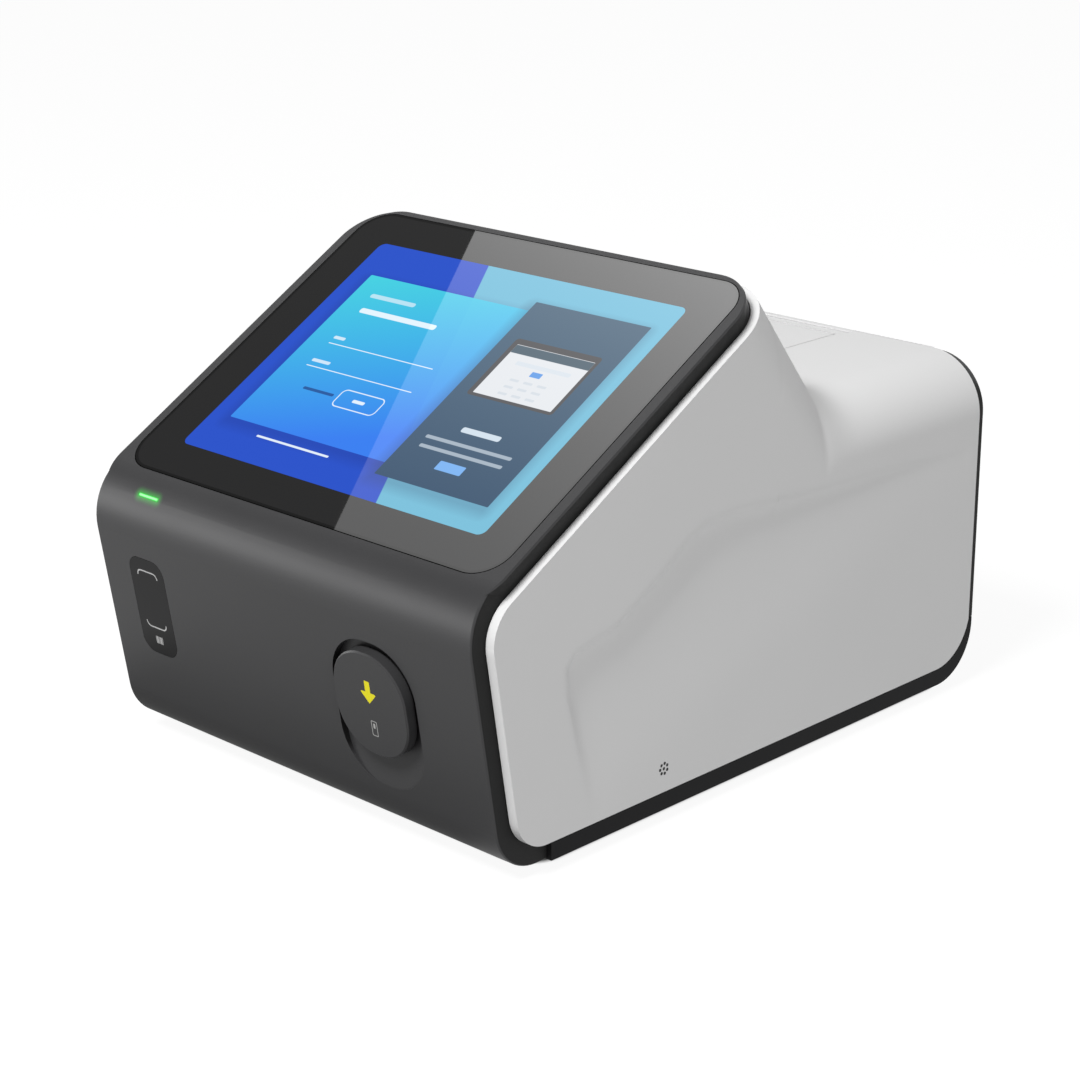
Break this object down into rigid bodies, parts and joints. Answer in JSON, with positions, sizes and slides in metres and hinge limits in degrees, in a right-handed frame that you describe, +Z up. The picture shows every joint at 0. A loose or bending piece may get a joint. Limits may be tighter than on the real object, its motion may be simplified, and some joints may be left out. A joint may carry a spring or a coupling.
{
  "type": "immunofluorescence analyzer",
  "caption": "Bench-top cartridge reader with a sloping touch screen, a motor-driven cartridge tray, a code scanner window and a ticket printer under a deck lid.",
  "frame": {"origin": "middle of the casing's outline on the bench, at the underside of the feet", "axes": "+X to the right seen from the front, +Y from the front to the back, +Z up"},
  "size_m": [0.2122, 0.2886, 0.1905],
  "materials": {
    "shell_dark": "fine satin texture",
    "cover_white": "fine satin texture",
    "glass_black": "polished cover glass printed black at the back",
    "display": "lit display",
    "foam_black": "foam",
    "rubber": "moulded",
    "light_green": "clear light bar",
    "steel": "plated sheet and ground rod",
    "zinc": "zinc plated",
    "board_green": "solder mask",
    "black_plastic": "moulded",
    "anodised": "black anodised",
    "brass": "plain",
    "lens_glass": "coated",
    "acetal": "natural acetal",
    "paper": "thermal paper"
  },
  "bodies": {
    "casing": {"front_shell": "shell_dark", "upper_cover": "cover_white", "base_tray": "shell_dark", "rear_panel": "shell_dark", "base_screws": "zinc", "rear_screws": "zinc", "rubber_feet": "rubber", "touch_glass": "glass_black", "glass_gasket": "foam_black", "lcd_display": "display", "display_bracket": "steel", "display_driver_board": "board_green", "status_light_pipe": "light_green", "status_light_board": "board_green", "scanner_window": "glass_black", "scanner_module": "black_plastic", "scanner_bracket": "steel", "speaker": "black_plastic", "guide_rods": "steel", "tray_chassis": "steel", "motor_bracket": "steel", "tray_motor": "black_plastic", "home_sensor": "black_plastic", "optics_arch": "steel", "optics_housing": "anodised", "objective_lens": "lens_glass", "excitation_led": "board_green", "detector_board": "board_green", "printer_bezel": "cover_white", "printer_frame": "black_plastic", "print_head": "steel", "head_holder": "steel", "printer_drive": "black_plastic", "mains_inlet": "black_plastic", "inlet_pins": "zinc", "power_switch": "black_plastic", "main_board": "board_green", "board_standoffs": "brass", "usb_sockets": "zinc", "usb_tongues": "black_plastic", "lan_socket": "zinc", "heat_sink": "anodised", "board_components": "black_plastic", "power_supply": "zinc"},
    "tray": {"cartridge_tray": "black_plastic", "tray_front": "shell_dark", "tray_rack": "acetal", "tray_bushes": "brass"},
    "pinion": {"drive_pinion": "acetal"},
    "lid": {"printer_lid": "cover_white"},
    "platen": {"platen_roller": "rubber"},
    "roll": {"paper_roll": "paper"},
    "rocker": {"power_rocker": "black_plastic"}
  },
  "joints": [
    {"name": "tray_slide", "type": "slide", "parent": "casing", "child": "tray", "axis": [0, -1, 0], "range_m": [0, 0.08]},
    {"name": "pinion_spin", "type": "hinge", "parent": "casing", "child": "pinion", "pos_m": [0.0488, -0.10634, 0.04355], "axis": [1, 0, 0], "range_deg": [-1, 574]},
    {"name": "lid_hinge", "type": "hinge", "parent": "casing", "child": "lid", "pos_m": [0, 0.1266, 0.1369], "axis": [-1, 0, 0], "range_deg": [0, 95]},
    {"name": "platen_spin", "type": "hinge", "parent": "lid", "child": "platen", "pos_m": [0, 0.0732, 0.1316], "axis": [1, 0, 0], "continuous": true},
    {"name": "roll_spin", "type": "hinge", "parent": "casing", "child": "roll", "pos_m": [0, 0.1041, 0.1113], "axis": [1, 0, 0], "continuous": true},
    {"name": "rocker_tilt", "type": "hinge", "parent": "casing", "child": "rocker", "pos_m": [0.026, 0.1376, 0.062], "axis": [-1, 0, 0], "range_deg": [0, 18]}
  ],
  "couplings": [
    {"joint": "pinion_spin", "follows": "tray_slide", "rad_per_m": 125}
  ]
}
